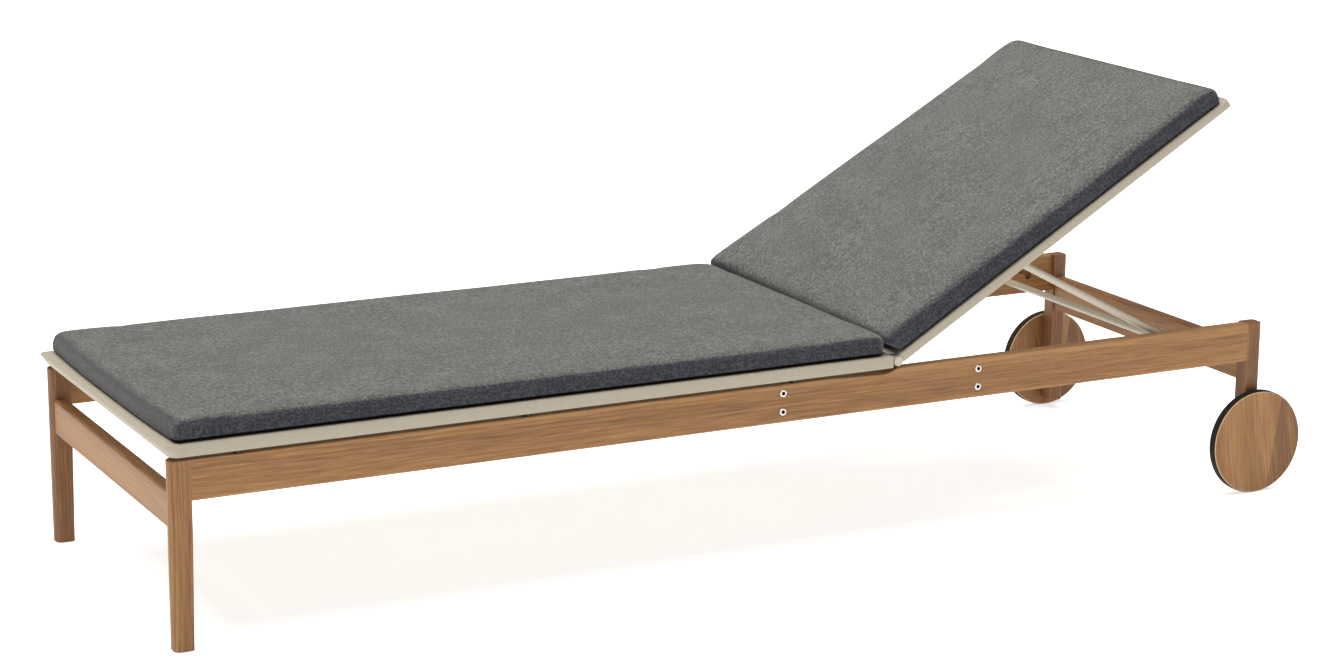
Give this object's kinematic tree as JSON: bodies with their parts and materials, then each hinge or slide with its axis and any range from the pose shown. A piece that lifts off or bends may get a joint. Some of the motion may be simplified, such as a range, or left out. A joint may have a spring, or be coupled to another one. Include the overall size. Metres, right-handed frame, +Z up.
{
  "type": "reclining sun lounger",
  "caption": "Teak sun lounger with sling seat and back, flat cushions, a back that reclines on a prop with a notched track, and disc wheels at the head end.",
  "frame": {"origin": "middle of the length and width, on the ground", "axes": "+X towards the head end, +Y to the side of the right hand of a person lying face up, +Z up"},
  "size_m": [2.04, 0.664, 0.7098],
  "materials": {
    "teak": "oiled, fine sanded",
    "sling_mesh": "woven, coated yarn, beige",
    "cushion_cloth": "heather weave, dark grey",
    "tyre_rubber": "plain, matt",
    "coated_steel": "powder coated, beige",
    "stainless_steel": "satin",
    "black_nylon": "moulded, matt"
  },
  "bodies": {
    "frame": {"axle_left": "stainless_steel", "axle_right": "stainless_steel", "axle_spacer_left": "black_nylon", "axle_spacer_right": "black_nylon", "foot_crossrail": "teak", "foot_leg_left": "teak", "foot_leg_right": "teak", "head_crossrail": "teak", "head_leg_left": "teak", "head_leg_right": "teak", "hinge_pin_left": "stainless_steel", "hinge_pin_right": "stainless_steel", "hinge_plate_left": "stainless_steel", "hinge_plate_right": "stainless_steel", "rail_bolts_left": "stainless_steel", "rail_bolts_right": "stainless_steel", "rail_nuts_left": "stainless_steel", "rail_nuts_right": "stainless_steel", "seat_cushion": "cushion_cloth", "seat_foot_tube": "coated_steel", "seat_hinge_tube": "coated_steel", "seat_screws_left": "stainless_steel", "seat_screws_right": "stainless_steel", "seat_side_tube_left": "coated_steel", "seat_side_tube_right": "coated_steel", "seat_sling": "sling_mesh", "seat_spacers_left": "black_nylon", "seat_spacers_right": "black_nylon", "side_rail_left": "teak", "side_rail_right": "teak"},
    "backrest": {"back_cushion": "cushion_cloth", "back_hinge_tube": "coated_steel", "back_side_tube_left": "coated_steel", "back_side_tube_right": "coated_steel", "back_sling": "sling_mesh", "back_top_tube": "coated_steel", "hinge_bush_left": "black_nylon", "hinge_bush_right": "black_nylon", "prop_pivot_bolt_left": "stainless_steel", "prop_pivot_bolt_right": "stainless_steel", "prop_spacer_left": "black_nylon", "prop_spacer_right": "black_nylon"},
    "prop": {"prop_arm_left": "coated_steel", "prop_arm_right": "coated_steel", "prop_crossbar": "coated_steel"},
    "wheel_left": {"tyre_left": "tyre_rubber", "wheel_bush_left": "black_nylon", "wheel_disc_left": "teak"},
    "wheel_right": {"tyre_right": "tyre_rubber", "wheel_bush_right": "black_nylon", "wheel_disc_right": "teak"}
  },
  "joints": [
    {"name": "recline", "type": "hinge", "parent": "frame", "child": "backrest", "pos_m": [0.219, 0, 0.3065], "axis": [0, -1, 0], "range_deg": [-30.6, 24.4]},
    {"name": "prop_swing", "type": "hinge", "parent": "backrest", "child": "prop", "pos_m": [0.45467, 0, 0.44588], "axis": [0, -1, 0], "range_deg": [-41, 52]},
    {"name": "wheel_left_spin", "type": "hinge", "parent": "frame", "child": "wheel_left", "pos_m": [0.93, -0.323, 0.09], "axis": [0, 1, 0], "continuous": true},
    {"name": "wheel_right_spin", "type": "hinge", "parent": "frame", "child": "wheel_right", "pos_m": [0.93, 0.323, 0.09], "axis": [0, 1, 0], "continuous": true}
  ],
  "couplings": [
    {"joint": "prop_swing", "follows": "recline", "ratio": -1.66}
  ]
}
